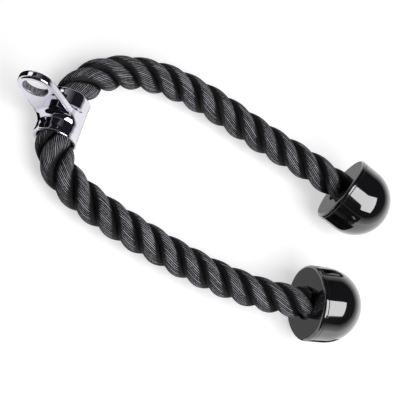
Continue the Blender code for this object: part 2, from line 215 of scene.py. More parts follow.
class RopeSettings(bpy.types.PropertyGroup):
    """Sizes and finish of the rope's strands and yarns"""

    strand_radius: length("Strand radius", "Radius of one strand", 0.0077)
    strand_offset: length("Strand offset", "From the rope's middle to a strand's middle", 0.0075)
    lay_length: length("Lay length", "Length of one turn of a strand, at the collar", 0.067)
    yarn_relief: length("Yarn relief", "Height of a yarn's round top", 0.0003)
    row_step: length("Row step", "Distance between the rings of a strand's mesh", 0.0016)
    yarns: bpy.props.IntProperty(
        name="Yarns", description="Yarns around one strand", default=30, min=8
    )
    yarn_angle: bpy.props.FloatProperty(
        name="Yarn angle",
        description="Angle of the yarns to the rope where they show, far from the collar",
        default=math.radians(27),
        subtype="ANGLE",
    )
    tint: colour("Yarn colour", "Colour of most yarns", (0.012, 0.0115, 0.014))
    # the pale yarn colour is a painted sheen on the yarns' crests, on the strands' outsides
    sheen_tint: colour("Pale yarn colour", "Colour of the palest yarns", (0.86, 0.83, 0.92))
    roughness: share("Yarn roughness", "Roughness of the yarns", 0.26)


class CapSettings(bpy.types.PropertyGroup):
    """Size and finishes of the end caps and of what holds them"""

    radius: length("Cap radius", "Outer radius of the end caps", 0.036)
    tint: colour("Plastic colour", "Colour of the glossy plastic", (0.006, 0.006, 0.0065))
    roughness: share("Plastic roughness", "Roughness of the glossy plastic", 0.06)
    steel: colour("Steel colour", "Colour of the washers and sleeves", (0.55, 0.55, 0.56))


class StageSettings(bpy.types.PropertyGroup):
    """Sizes and colours of the stage"""

    floor: colour("Floor colour", "Colour of the floor", (0.5, 0.5, 0.505))
    floor_radius: length("Floor radius", "Radius of the round floor", 8)
    wall_height: length("Wall height", "Height of the floor's raised edge", 4)
    box_radiance: bpy.props.FloatProperty(
        name="Softbox", description="Radiance of the softbox", default=5.6
    )
    world: colour("Room colour", "Colour of the room over the floor's edge", (0.015, 0.015, 0.019))


# Meshes
def unit(vectors):
    """The vectors, each divided by its length."""
    return vectors / np.linalg.norm(vectors, axis=-1, keepdims=True)


def outward(points, quads, *others):
    """The quads, and arrays that go with them, turned round if the quads' volume is negative.

    The volume is the sum of a . (b x c) over the two triangles of each quad.
    """
    a, b, c, d = (points[quads[:, k]] for k in range(4))
    volume = np.einsum("ij,ij->", a, np.cross(b, c) + np.cross(c, d))
    order = 1 if volume > 0 else -1
    return [part[:, ::order] for part in (quads, *others)]


def ring_faces(rows, columns, base=0):
    """Quads of a grid of rows by columns that is closed around, as vertex numbers from base."""
    i, j = np.meshgrid(np.arange(rows - 1), np.arange(columns), indexing="ij")
    after = (j + 1) % columns
    row, next_row = base + i * columns, base + (i + 1) * columns
    corners = (row + j, row + after, next_row + after, next_row + j)
    return np.stack(corners, axis=-1).reshape(-1, 4)


def end_fans(rows, columns, start, stop, base=0):
    """Triangles from such a grid's first ring to the vertex start, and from its last to stop."""
    ring = np.arange(columns)
    after = (ring + 1) % columns
    tail = base + (rows - 1) * columns
    first = np.stack([np.full(columns, start), base + after, base + ring], axis=-1)
    last = np.stack([np.full(columns, stop), tail + ring, tail + after], axis=-1)
    return np.concatenate([first, last])


def piece(name, points, quads, triangles=()):
    """A smooth-shaded mesh object at the origin, from arrays of points and vertex numbers."""
    mesh = bpy.data.meshes.new(name)
    faces = quads.tolist() + [list(t) for t in triangles]
    mesh.from_pydata(points.tolist(), [], faces)
    mesh.update()
    mesh.shade_smooth()
    made = bpy.data.objects.new(name, mesh)
    bpy.context.scene.collection.objects.link(made)
    return made


def carried(made, body, slot, material, *nodes):
    """Gives a piece its finish and the body, if one is named, and lets it stand for CAD nodes."""
    made.data.materials.append(material)
    if body:
        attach(made, body)
    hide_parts(*nodes)


# Materials
class Finish:
    """A material whose nodes are added one by one and wired into its Principled BSDF.

    In the names of sockets an underscore stands for a space.
    """

    def __init__(self, name, **constants):
        self.material = bpy.data.materials.new(name)
        self.material.use_nodes = True
        self.nodes = self.material.node_tree.nodes
        self.links = self.material.node_tree.links
        self.surface(**constants)

    def fill(self, node, values):
        """Links or sets inputs of a node, each given by its name or number."""
        for socket, value in values.items():
            target = node.inputs[socket.replace("_", " ") if isinstance(socket, str) else socket]
            if isinstance(value, bpy.types.NodeSocket):
                self.links.new(value, target)
            elif target.type == "RGBA" and len(value) == 3:
                target.default_value = (*value, 1)
            else:
                target.default_value = value

    def surface(self, **values):
        """Links or sets inputs of the Principled BSDF."""
        self.fill(self.nodes["Principled BSDF"], values)

    def add(self, kind, output=0, settings=None, **values):
        """The wanted output of a new node with these settings and inputs."""
        node = self.nodes.new("ShaderNode" + kind)
        for key, value in (settings or {}).items():
            setattr(node, key, value)
        self.fill(node, values)
        return node.outputs[output]

    def math(self, operation, *operands, kind="Math", output=0):
        """What a Math or VectorMath node makes of its operands."""
        node = self.nodes.new("ShaderNode" + kind)
        node.operation = operation
        self.fill(node, dict(enumerate(operands)))
        return node.outputs[output]

    def product(self, *factors):
        """The factors multiplied, from the left."""
        result = factors[0]
        for factor in factors[1:]:
            result = self.math("MULTIPLY", result, factor)
        return result

    def size(self, vector):
        """The length of a vector."""
        return self.math("LENGTH", vector, kind="VectorMath", output="Value")

    def parts(self, vector):
        """The outputs X, Y and Z of a vector."""
        return self.add("SeparateXYZ", Vector=vector).node.outputs

    def coordinates(self, kind="Object"):
        """Object coordinates, or the piece's own UV map."""
        return self.add("TexCoord", output=kind)

    def scaled(self, vector, scale):
        """A vector with X, Y and Z each multiplied by its own number."""
        return self.add("Mapping", Vector=vector, Scale=scale)

    def noise(self, vector, scale, detail):
        """Smooth noise with so many bumps to a metre and so many finer layers on it."""
        return self.add("TexNoise", Vector=vector, Scale=scale, Detail=detail)

    def ramp(self, factor, stops):
        """A colour ramp through (place, colour) stops."""
        node = self.nodes.new("ShaderNodeValToRGB")
        self.links.new(factor, node.inputs[0])
        elements = node.color_ramp.elements
        while len(elements) < len(stops):
            elements.new(0.5)
        for element, (place, value) in zip(elements, stops):
            element.position = place
            element.color = (*value, 1)
        return node.outputs[0]

    def between(self, factor, low, high, start=0.0, end=1.0):
        """A number that goes from low to high as the factor goes from start to end."""
        return self.add(
            "MapRange", Value=factor, From_Min=start, From_Max=end, To_Min=low, To_Max=high
        )

    def mixed(self, factor, first, second):
        """A colour that goes from the first to the second as the factor goes from 0 to 1."""
        node = self.nodes.new("ShaderNodeMix")
        node.data_type = "RGBA"
        self.fill(node, {"Factor": factor, 6: first, 7: second})
        return node.outputs[2]

    def bump(self, height, strength, distance):
        """Lets the shading follow a height, of which 1 stands for the distance."""
        self.surface(Normal=self.add("Bump", Height=height, Strength=strength, Distance=distance))


def chrome_finish(settings):
    """Polished plating on a casting: almost a mirror, with faint long waves and cloudy places.

    The wall of the eye was never polished: up to just past the eye's radius from its axis, the
    plating is streaked, darker, rougher and less metallic.
    """
    finish = Finish("polished_chrome", Metallic=1.0)
    place = finish.coordinates()
    tilt = math.radians(LUG_TILT_DEGREES)
    up_lug = np.array([-math.cos(tilt), 0, math.sin(tilt)])
    eye = COLLAR_CENTRE + up_lug * settings.eye_offset
    from_eye = finish.math("SUBTRACT", place, eye, kind="VectorMath")
    from_axis = finish.size(finish.scaled(from_eye, (1, 0, 1)))
    wall, polish = settings.eye_radius + 0.0002, settings.eye_radius + 0.0008
    raw = finish.between(from_axis, 1.0, 0.0, wall, polish)
    cloud = finish.noise(place, 90.0, 3.0)
    wave = finish.noise(place, 55.0, 1.0)
    streaks = finish.noise(finish.scaled(place, (1400, 150, 1400)), 1.0, 2.0)
    tint = np.array(settings.tint)
    polished = finish.ramp(cloud, [(0.3, tint * 0.96), (0.7, tint)])
    dull = finish.ramp(streaks, [(0.38, tint * 0.08), (0.62, tint * 0.8)])
    rough = finish.between(cloud, settings.roughness * 0.6, settings.roughness * 1.5)
    finish.surface(
        Base_Color=finish.mixed(raw, polished, dull),
        Roughness=finish.math("ADD", rough, finish.product(raw, 0.3)),
        Metallic=finish.math("SUBTRACT", 1.0, finish.product(raw, 0.6)),
    )
    finish.bump(wave, 0.06, 0.0004)
    return finish.material


def plastic_finish(settings):
    """Glossy black moulded plastic: a deep coat, faint haze and very fine hairlines."""
    finish = Finish("gloss_black_plastic", IOR=1.7)
    finish.surface(Coat_Weight=1.0, Coat_Roughness=0.03, Coat_IOR=1.5)
    place = finish.coordinates()
    haze = finish.noise(place, 60.0, 4.0)
    hairs = finish.noise(finish.scaled(place, (60, 900, 400)), 1.0, 2.0)
    tint = np.array(settings.tint)
    finish.surface(
        Base_Color=finish.ramp(haze, [(0.3, tint * 0.8), (0.75, tint * 1.3)]),
        Roughness=finish.between(haze, settings.roughness * 0.6, settings.roughness * 1.6),
    )
    finish.bump(hairs, 0.02, 0.00005)
    return finish.material


def steel_finish(settings):
    """Plain steel with turning marks and a little dirt."""
    finish = Finish("plain_steel", Metallic=1.0)
    marks = finish.noise(finish.scaled(finish.coordinates(), (300, 300, 2500)), 1.0, 2.0)
    tint = np.array(settings.steel)
    finish.surface(
        Base_Color=finish.ramp(marks, [(0.25, tint * 0.7), (0.75, tint)]),
        Roughness=finish.between(marks, 0.28, 0.45),
    )
    finish.bump(marks, 0.15, 0.0001)
    return finish.material


def rope_finish(settings):
    """Black yarn: each yarn has its own tone, a painted highlight on its crest and painted shade
    in the valley on each side.

    The UV map counts yarns across in U and yarn widths along in V, and the fibres run at a slant
    along a yarn. The attribute ridge goes from 0 between the strands to 1 on their outsides, so the
    grooves between the strands get painted shade and the outsides a pale painted sheen. The tone is
    a yarn's own plus its fibres', times a power of the ridge and a power of the height on the
    yarn's round top, and the ramp turns it from painted shade, darker than the yarn colour, to the
    pale colour of the painted sheen.
    """
    finish = Finish("black_yarn", IOR=1.33)
    across, along, _ = finish.parts(finish.coordinates("UV"))
    number = finish.math("FLOOR", across)
    own = finish.add("TexWhiteNoise", settings={"noise_dimensions": "1D"}, W=number)
    off_middle = finish.math("SUBTRACT", finish.math("FRACT", across), 0.5)
    crest = finish.math("SUBTRACT", 1.0, finish.product(finish.math("ABSOLUTE", off_middle), 2.0))
    slanted = finish.math("ADD", across, finish.product(along, 0.35))
    lines = finish.add(
        "CombineXYZ", X=finish.product(slanted, 7.0), Y=finish.product(along, 0.5)
    )
    fibres = finish.noise(lines, 1.0, 2.0)
    ridge = finish.add("Attribute", output="Fac", settings={"attribute_name": "ridge"})
    # a yarn's own random tone plus its fibres', which sets how strong its painted sheen is
    sheen_share = finish.math("ADD", finish.product(own, 0.35), fibres)
    outside = finish.math("POWER", ridge, 4.0)
    # painted light: bright only on the strands' outsides and on each yarn's top, dark in the
    # grooves and valleys
    tone = finish.product(sheen_share, outside, finish.math("POWER", crest, 2.6))
    dark, pale = np.array(settings.tint), np.array(settings.sheen_tint)
    rough = finish.between(fibres, settings.roughness - 0.08, settings.roughness + 0.12)
    valley = finish.product(finish.math("SUBTRACT", 1.0, crest), 0.4)
    # the ramp paints shade, darker than the yarn colour, in grooves and valleys, and a pale painted
    # sheen on the crests
    finish.surface(
        Base_Color=finish.ramp(tone, [(0.04, dark * 0.1), (0.27, dark), (0.75, pale)]),
        Roughness=finish.math("ADD", rough, valley),
    )
    finish.bump(fibres, 0.4, 0.00012)
    return finish.material


def once(name, make, settings):
    """The material of that name, made the first time that it is asked for."""
    return bpy.data.materials.get(name) or make(settings)


# Casting
def filleted(a, b, radius):
    """The join of two solids given as signed distances, with a fillet of that radius.

    Where both distances are under the radius, it is the radius less the length of what each lacks.
    """
    u, v = np.maximum(radius - a, 0), np.maximum(radius - b, 0)
    return np.maximum(radius, np.minimum(a, b)) - np.hypot(u, v)


def rounded(a, b, radius):
    """What two solids given as signed distances have in common, its edge rounded by that radius."""
    u, v = np.maximum(radius + a, 0), np.maximum(radius + b, 0)
    return np.minimum(-radius, np.maximum(a, b)) + np.hypot(u, v)


def casting_field(points, s):
    """Signed distance to the casting, about.

    X goes across the lug, Y along the bore, and Z up the lug from the bore's axis. A collar that
    flares at its rims and a plate with a tapered outline under a round arch are joined by a
    fillet, cut to side flats in one plane with the plate's edges, and then opened by the
    bell-mouthed bore and the round eye.
    """
    x, y, z = np.abs(points[..., 0]), np.abs(points[..., 1]), points[..., 2]
    out = np.hypot(x, z)
    flare_start = s.collar_half_length - s.rim_rounding - s.rim_flare_length
    t = np.clip((y - flare_start) / s.rim_flare_length, 0, 1)
    rod = out - s.collar_radius - s.rim_flare * t * t * (3 - 2 * t)
    collar = rounded(rod, y - s.collar_half_length, s.rim_rounding)
    up = z - s.eye_offset
    rise = s.eye_offset - s.lug_foot_height
    slope = math.atan2(s.lug_foot_half_width - s.lug_arch_radius, rise)
    taper = x * math.cos(slope) + up * math.sin(slope) - s.lug_arch_radius
    at_arch = up * math.cos(slope) > x * math.sin(slope)
    outline = np.where(at_arch, np.hypot(x, up) - s.lug_arch_radius, taper)
    plate = rounded(y - s.lug_thickness / 2, np.maximum(outline, -z), s.lug_edge_rounding)
    body = filleted(collar, plate, s.foot_fillet)
    body = rounded(body, taper, s.flat_rounding)
    into = np.clip((y - (s.collar_half_length - s.bell_depth)) / s.bell_depth, 0, 0.995)
    mouth = s.bore_radius + s.bell_flare * (1 - np.sqrt(1 - into * into))
    body = rounded(body, mouth - out, s.bell_rounding)
    return rounded(body, s.eye_radius - np.hypot(x, up), s.eye_lip)


def gradient_of(field, points, reach=2e-6):
    """The field's slope at points: its change from reach before to reach after, on each axis."""
    slopes = []
    for axis in np.eye(3) * reach:
        slopes.append((field(points + axis) - field(points - axis)) / (2 * reach))
    return np.stack(slopes, axis=-1)


def settled(field, points, rounds):
    """Points moved along the field's slope until they lie on its surface.

    Each step is the field's value times its slope, over the square of the slope's size.
    """
    least = 0.05
    for _ in range(rounds):
        slope = gradient_of(field, points)
        square = np.maximum((slope * slope).sum(-1, keepdims=True), least)
        points = points - field(points)[:, None] * slope / square
    return points


def net_of(field, low, high, step):
    """Vertices and quads of a field's zero surface, on a grid between two corners.

    Each grid cell that the surface crosses has one vertex, at the mean of its crossings of the
    cell's edges, and each crossed grid edge has one quad round it.
    """
    axes = [np.arange(a, b + step, step) for a, b in zip(low, high)]
    grid = np.stack(np.meshgrid(*axes, indexing="ij"), axis=-1)
    value = field(grid)
    inside = value < 0
    size = np.array(value.shape) - 1
    total = np.zeros((*size, 3))
    count = np.zeros(size)
    for axis in range(3):
        others = [k for k in range(3) if k != axis]
        for shifts in np.ndindex(2, 2):
            at = [slice(0, cells) for cells in size]
            for k, shift in zip(others, shifts):
                at[k] = slice(shift, shift + size[k])
            to = list(at)
            to[axis] = slice(1, size[axis] + 1)
            at, to = tuple(at), tuple(to)
            a, b = value[at], value[to]
            crossed = inside[at] != inside[to]
            part = np.where(crossed, a / np.where(crossed, a - b, 1), 0)
            place = grid[at] + part[..., None] * (grid[to] - grid[at])
            total += np.where(crossed[..., None], place, 0)
            count += crossed
    held = count > 0
    number = np.full(size, -1)
    number[held] = np.arange(held.sum())
    points = total[held] / count[held][:, None]
    quads = []
    for axis in range(3):
        b, c = (axis + 1) % 3, (axis + 2) % 3
        low_side = [slice(None)] * 3
        high_side = [slice(None)] * 3
        low_side[axis], high_side[axis] = slice(0, -1), slice(1, None)
        first, second = inside[tuple(low_side)], inside[tuple(high_side)]
        cells = np.argwhere(first != second)
        cells = cells[(cells[:, b] > 0) & (cells[:, c] > 0)]
        corners = []
        for db, dc in ((-1, -1), (0, -1), (0, 0), (-1, 0)):
            moved = cells.copy()
            moved[:, b] += db
            moved[:, c] += dc
            corners.append(number[tuple(moved.T)])
        quad = np.stack(corners, axis=-1)
        leaving = first[tuple(cells.T)]
        quads.append(np.where(leaving[:, None], quad, quad[:, ::-1]))
    return points, np.concatenate(quads)


def relaxed(points, quads, field, rounds):
    """Each vertex moved most of the way to its neighbours' mean and back to the surface.

    That evens out the faces.
    """
    pairs = np.concatenate([quads[:, [k, (k + 1) % 4]] for k in range(4)])
    here, there = np.concatenate([pairs, pairs[:, ::-1]]).T
    size = len(points)
    count = np.bincount(here, minlength=size)[:, None]
    for _ in range(rounds):
        sums = [np.bincount(here, weights=points[there, k], minlength=size) for k in range(3)]
        points = settled(field, 0.4 * points + 0.6 * np.stack(sums, axis=-1) / count, 1)
    return points


class PULLDOWN_OT_casting(bpy.types.Operator):
    """Makes the cast fitting: collar, fillet, lug and eye as one surface"""

    bl_idname = "pulldown.casting"
    bl_label = "Cast fitting"

    def execute(self, context):
        s = context.scene.pulldown_casting
        margin = 3 * s.net_step
        reach = s.collar_radius + s.rim_flare + margin
        half = s.collar_half_length + margin
        low = (-reach, -half, -reach)
        high = (reach, half, s.eye_offset + s.lug_arch_radius + margin)

        def field(points):
            return casting_field(points, s)

        points, quads = net_of(field, low, high, s.net_step)
        points = settled(field, points, 4)
        points = relaxed(points, quads, field, 3)
        points = settled(field, points, 3)
        normals = unit(gradient_of(field, points))
        lean = np.array(Matrix.Rotation(math.radians(LUG_TILT_DEGREES - 90), 3, "Y"))
        made = piece("cast_fitting", points @ lean.T + COLLAR_CENTRE, *outward(points, quads))
        made.data.normals_split_custom_set_from_vertices((normals @ lean.T).tolist())
        carried(made, "fitting", "chrome", once("polished_chrome", chrome_finish, s), "fitting")
        return {"FINISHED"}


# Rope
def smooth_curve(points, start, end):
    """A cubic spline through the points with the given end directions, as closely read points.

    Its directions at the points solve the linear system that makes its bending continuous.
    """
    points = np.array(points, float)
    runs = np.linalg.norm(np.diff(points, axis=0), axis=1)
    knots = np.concatenate([[0], np.cumsum(runs)])
    count = len(points)
    before, after = runs[:-1], runs[1:]
    inner = np.arange(1, count - 1)
    system = np.eye(count)
    system[inner, inner - 1] = after
    system[inner, inner] = 2 * (before + after)
    system[inner, inner + 1] = before
    slope = np.diff(points, axis=0) / runs[:, None]
    wanted = np.zeros((count, 3))
    wanted[0], wanted[-1] = start, end
    wanted[1:-1] = 3 * (after[:, None] * slope[:-1] + before[:, None] * slope[1:])
    slopes = np.linalg.solve(system, wanted)
    at = np.linspace(0, knots[-1], ROUTE_SAMPLES)
    k = np.clip(np.searchsorted(knots, at, side="right") - 1, 0, count - 2)
    run = runs[k][:, None]
    t = (at - knots[k])[:, None] / run
    place = (2 * t**3 - 3 * t**2 + 1) * points[k] + (3 * t**2 - 2 * t**3) * points[k + 1]
    return place + (t**3 - 2 * t**2 + t) * run * slopes[k] + (t**3 - t**2) * run * slopes[k + 1]


def cap_place(side):
    """Where a cap is: the centre of its lid's face, and its axis from there into the cap.

    The lid's rounded edge touches the floor.
    """
    leg = LEGS[side]
    heading, slope = math.radians(leg["heading"]), math.radians(leg["slope"])
    level = math.cos(slope)
    axis = np.array([level * math.cos(heading), level * math.sin(heading), math.sin(slope)])
    low = bpy.context.scene.pulldown_cap.radius - LID_EDGE_ROUNDING
    height = low * level + LID_EDGE_ROUNDING * (1 - math.sin(slope))
    face = np.array([*(COLLAR_CENTRE[:2] + leg["end"]), height])
    return face, axis


def head_depth():
    """How deep in a cap the rope's melted head starts."""
    return LID_THICKNESS + WASHER_THICKNESS + SLEEVE_LENGTH + 3 * FACE_GAP


def leg_line(side):
    """The middle of one leg, from the middle of the collar to the melted end in its cap.

    It is straight in the bore and in the cap, and a smooth curve through the route between them.
    """
    leg = LEGS[side]
    face, axis = cap_place(side)
    floor_point = COLLAR_CENTRE * (1, 1, 0)
    to_mouth = (0, leg["sign"] * BORE_HALF_LENGTH, 0)
    lead = ROPE_END_LEAD + FACE_GAP
    stop = face - axis * lead
    places = [COLLAR_CENTRE + to_mouth, *(floor_point + point for point in leg["route"]), stop]
    free = smooth_curve(places, (0, leg["sign"], 0), axis)
    in_collar = COLLAR_CENTRE + np.outer(np.linspace(0, 1, COLLAR_SAMPLES)[:-1], to_mouth)
    in_cap = stop + np.outer(np.linspace(0, 1, CAP_SAMPLES)[1:], axis * (lead + head_depth()))
    return np.concatenate([in_collar, free, in_cap])


def along_line(line):
    """Distance of each point of a line from its start."""
    return np.concatenate([[0], np.cumsum(np.linalg.norm(np.diff(line, axis=0), axis=1))])


def read_line(line, at):
    """Points of a line at distances from its start."""
    along = along_line(line)
    return np.stack([np.interp(at, along, line[:, k]) for k in range(3)], axis=-1)


def thickness(at):
    """The rope's thickness at distances along a whole leg, as a share of its free thickness."""
    lid = at[-1] - head_depth()
    shares = THICKNESS_AT_COLLAR + [(lid + place, share) for place, share in THICKNESS_AT_LID]
    return np.interp(at, *zip(*shares))


def slanted_length(at):
    """The length over which the yarns have leant, at distances along a leg.

    It is the sum of a share that grows evenly from 0 at YARNS_STRAIGHT_TO to 1 at
    YARNS_SLANTED_FROM and stays at 1.
    """
    run = YARNS_SLANTED_FROM - YARNS_STRAIGHT_TO
    part = np.clip((at - YARNS_STRAIGHT_TO) / run, 0, 1)
    return run * part * part / 2 + np.maximum(at - YARNS_SLANTED_FROM, 0)


def yarn_heights(rows, yarns, seed):
    """Height of a strand's surface at each row and column, in reliefs.

    It is the yarn's profile times the yarn's own height, plus a lift of each yarn that changes
    slowly along it: random steps about LIFT_ROWS rows apart, with straight lines between them.
    """
    yarn = np.repeat(np.arange(yarns), len(YARN_PROFILE))
    random = np.random.default_rng(seed)
    own = random.uniform(*OWN_HEIGHTS, yarns)[yarn]
    steps = random.normal(0, LIFT_SPREAD, (rows // LIFT_ROWS + 3, yarns))
    where = np.linspace(0, len(steps) - 1.001, rows)
    low = where.astype(int)
    part = (where - low)[:, None]
    lift = ((1 - part) * steps[low] + part * steps[low + 1])[:, yarn]
    return np.tile(YARN_PROFILE, yarns) * own + lift


def strand(line, at, turn, loosening, s, seed):
    """Points (rows, columns, 3) of one strand.

    Its middle is a helix about the rope's line, of radius strand_offset, which starts at the angle
    turn with one turn in lay_length and has lost twice the share loosening of its twist after each
    metre. Round that middle a circle of strand_radius is drawn square to the helix, and turns
    backwards along it, so that each column stays on one yarn: along the rope where it shows near
    the collar, and at yarn_angle to the rope further on. The circle's radius follows the yarns'
    heights, and all of it the rope's thickness.
    """
    middle = read_line(line, at)
    near = 0.002
    ahead = unit(read_line(line, at + near) - read_line(line, at - near))
    ahead[0], ahead[-1] = ahead[1], ahead[-2]
    side = unit(np.cross((0, 0, 1), ahead))
    above = np.cross(ahead, side)
    phase = math.tau / s.lay_length * (at - loosening * at * at)
    twist = (math.tau / s.lay_length * (1 - 2 * loosening * at))[:, None]
    swell = thickness(at)[:, None]
    angle = phase[:, None] + turn
    out = np.cos(angle) * side + np.sin(angle) * above
    forward = unit(ahead + twist * swell * s.strand_offset * np.cross(ahead, out))
    across = np.cross(forward, out)
    unwound = phase * (s.strand_radius + s.strand_offset)
    backwards = (math.tan(s.yarn_angle) * slanted_length(at) - unwound) / s.strand_radius
    columns = s.yarns * len(YARN_PROFILE)
    round_strand = (math.tau * np.arange(columns) / columns)[None, :] + backwards[:, None]
    reach = swell * (s.strand_radius + s.yarn_relief * yarn_heights(len(at), s.yarns, seed))
    circle = np.cos(round_strand)[..., None] * out[:, None]
    circle = circle + np.sin(round_strand)[..., None] * across[:, None]
    return (middle + swell * s.strand_offset * out)[:, None] + reach[..., None] * circle


def ridge_share(grid, line, at, s):
    """How much painted sheen each point of a strand gets: 0 between the strands, where the
    grooves get painted shade, 1 on the outside of the rope.

    It grows evenly with the distance from the rope's line, and is then raised to a power.
    """
    away = np.linalg.norm(grid - read_line(line, at)[:, None], axis=-1)
    away /= (thickness(at) * (s.strand_radius + s.strand_offset))[:, None]
    power = np.interp(at, SHEEN_PLACES, SHEEN_POWERS)[:, None]
    return np.clip((away - SHEEN_FROM) / SHEEN_OVER, 0, 1) ** power


def yarn_uv(at, s):
    """UVs (quads, 4, 2) of a strand: yarns across in U, yarn widths along in V."""
    i, j = np.meshgrid(
        np.arange(len(at) - 1), np.arange(s.yarns * len(YARN_PROFILE)), indexing="ij"
    )
    u = np.stack([j, j + 1, j + 1, j], axis=-1) / len(YARN_PROFILE)
    v = at[np.stack([i, i, i + 1, i + 1], axis=-1)] / (math.tau * s.strand_radius / s.yarns)
    return np.stack([u, v], axis=-1).reshape(-1, 4, 2)


def leg_mesh(leg, line, at, s, seed):
    """A leg's three strands: points, quads, triangles that close the ends, UVs and painted sheen.
    """
    rows, columns = len(at), s.yarns * len(YARN_PROFILE)
    points, quads, fans, uv, sheen_share = [], [], [], [], []
    for k in range(STRANDS):
        turn = leg["turn"] + math.tau * k / STRANDS
        grid = strand(line, at, turn, leg["loosening"], s, seed + k)
        base = k * (rows * columns + 2)
        start = base + rows * columns
        points += [grid.reshape(-1, 3), np.array([grid[0].mean(0), grid[-1].mean(0)])]
        quads.append(ring_faces(rows, columns, base))
        fans.append(end_fans(rows, columns, start, start + 1, base))
        uv.append(yarn_uv(at, s) + (YARN_NUMBERS_APART * k, 0))
        sheen_share += [ridge_share(grid, line, at, s).ravel(), np.zeros(2)]
    points = np.concatenate(points)
    faces = outward(points, *(np.concatenate(part) for part in (quads, fans, uv)))
    return points, *faces, np.concatenate(sheen_share)


class PULLDOWN_OT_rope(bpy.types.Operator):
    """Makes the two legs of the rope, each of three twisted strands of yarn"""

    bl_idname = "pulldown.rope"
    bl_label = "Rope"

    def execute(self, context):
        s = context.scene.pulldown_rope
        material = once("black_yarn", rope_finish, s)
        for order, (side, leg) in enumerate(LEGS.items()):
            line = leg_line(side)
            total = along_line(line)[-1]
            at = np.linspace(0, total, int(round(total / s.row_step)) + 1)
            points, quads, fans, uv, sheen_share = leg_mesh(leg, line, at, s, 10 * order)
            made = piece(f"{side}_rope_leg", points, quads, fans.tolist())
            corners = np.zeros((len(made.data.loops), 2), np.float32)
            corners[: uv.size // 2] = uv.reshape(-1, 2)
            layer = made.data.uv_layers.new(name="UVMap")
            layer.data.foreach_set("uv", corners.ravel())
            # the attribute ridge paints sheen on the strands' outsides and shade in the grooves
            # between them
            ridge = made.data.attributes.new("ridge", "FLOAT", "POINT")
            ridge.data.foreach_set("value", sheen_share.astype(np.float32))
            nodes = [f"rope_{side}_bend", f"rope_{side}_leg"]
            if side == "left":
                nodes.append("rope_core")
            carried(made, None, "rope", material, *nodes)
            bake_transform(made)
        return {"FINISHED"}


# End caps
def corner_line(corners, steps=7, guard=0.00015):
    """An outline of (radius, height) points through corners given as (radius, height, rounding).

    Each rounded corner is an arc between the points where it touches its two straight sides, and a
    guard point lies just before and after it, so that the flat sides stay flat when shaded.
    """
    outline = []
    for k, (r, h, rounding) in enumerate(corners):
        here = np.array([r, h])
        if not rounding:
            outline.append(here)
            continue
        to_last = unit(np.array(corners[k - 1][:2]) - here)
        to_next = unit(np.array(corners[k + 1][:2]) - here)
        half = math.acos(np.clip(to_last @ to_next, -1, 1)) / 2
        away = rounding / math.tan(half)
        centre = here + unit(to_last + to_next) * rounding / math.sin(half)
        first, last = here + to_last * away - centre, here + to_next * away - centre
        a, b = math.atan2(first[1], first[0]), math.atan2(last[1], last[0])
        sweep = (b - a + math.pi) % math.tau - math.pi
        angles = a + sweep * np.linspace(0, 1, steps + 1)
        outline.append(here + to_last * (away + guard))
        outline += list(centre + rounding * np.stack([np.cos(angles), np.sin(angles)], axis=-1))
        outline.append(here + to_next * (away + guard))
    return np.array(outline)


def arc(radius_at, height_at, radius, start, end, steps):
    """Points on an arc about (radius_at, height_at), between two angles in degrees."""
    angles = np.radians(np.linspace(start, end, steps + 1))
    circle = np.stack([np.cos(angles), np.sin(angles)], axis=-1)
    return (radius_at, height_at) + radius * circle


def turned(name, outline, place, sides, closed=True, wobble=None):
    """A piece whose outline of (radius, height) points is turned about the cap's axis.

    The outline closes on itself, or else goes from pole to pole. The wobble is added to the
    radius, and depends on the height and the angle.
    """
    face, axis = place
    u = unit(np.cross((0, 0, 1), axis))
    v = np.cross(axis, u)
    theta = np.linspace(0, math.tau, sides, endpoint=False)
    radial = np.cos(theta)[:, None] * u + np.sin(theta)[:, None] * v
    radii, heights = outline[:, 0][:, None] * np.ones(sides), outline[:, 1][:, None]
    if wobble:
        radii = radii + wobble(heights, theta[None, :])
    points = face + radii[..., None] * radial + heights[..., None] * axis
    rows = len(outline)
    if closed:
        points = points.reshape(-1, 3)
        quads = ring_faces(rows + 1, sides) % (rows * sides)
        return piece(name, points, *outward(points, quads))
    inner = points[1:-1].reshape(-1, 3)
    poles = face + outline[[0, -1], 1][:, None] * axis
    fans = end_fans(rows - 2, sides, len(inner), len(inner) + 1)
    quads, fans = outward(inner, ring_faces(rows - 2, sides), fans)
    return piece(name, np.concatenate([inner, poles]), quads, fans.tolist())


def cap_piece(side, name, outline, slot, material, node, sides=HARDWARE_SIDES, **turning):
    """Makes a turned piece of one cap, which rides on the leg and stands for one CAD node."""
    made = turned(f"{side}_{name}", outline, cap_place(side), sides, **turning)
    carried(made, f"{side}_leg", slot, material, f"{side}_{node}")


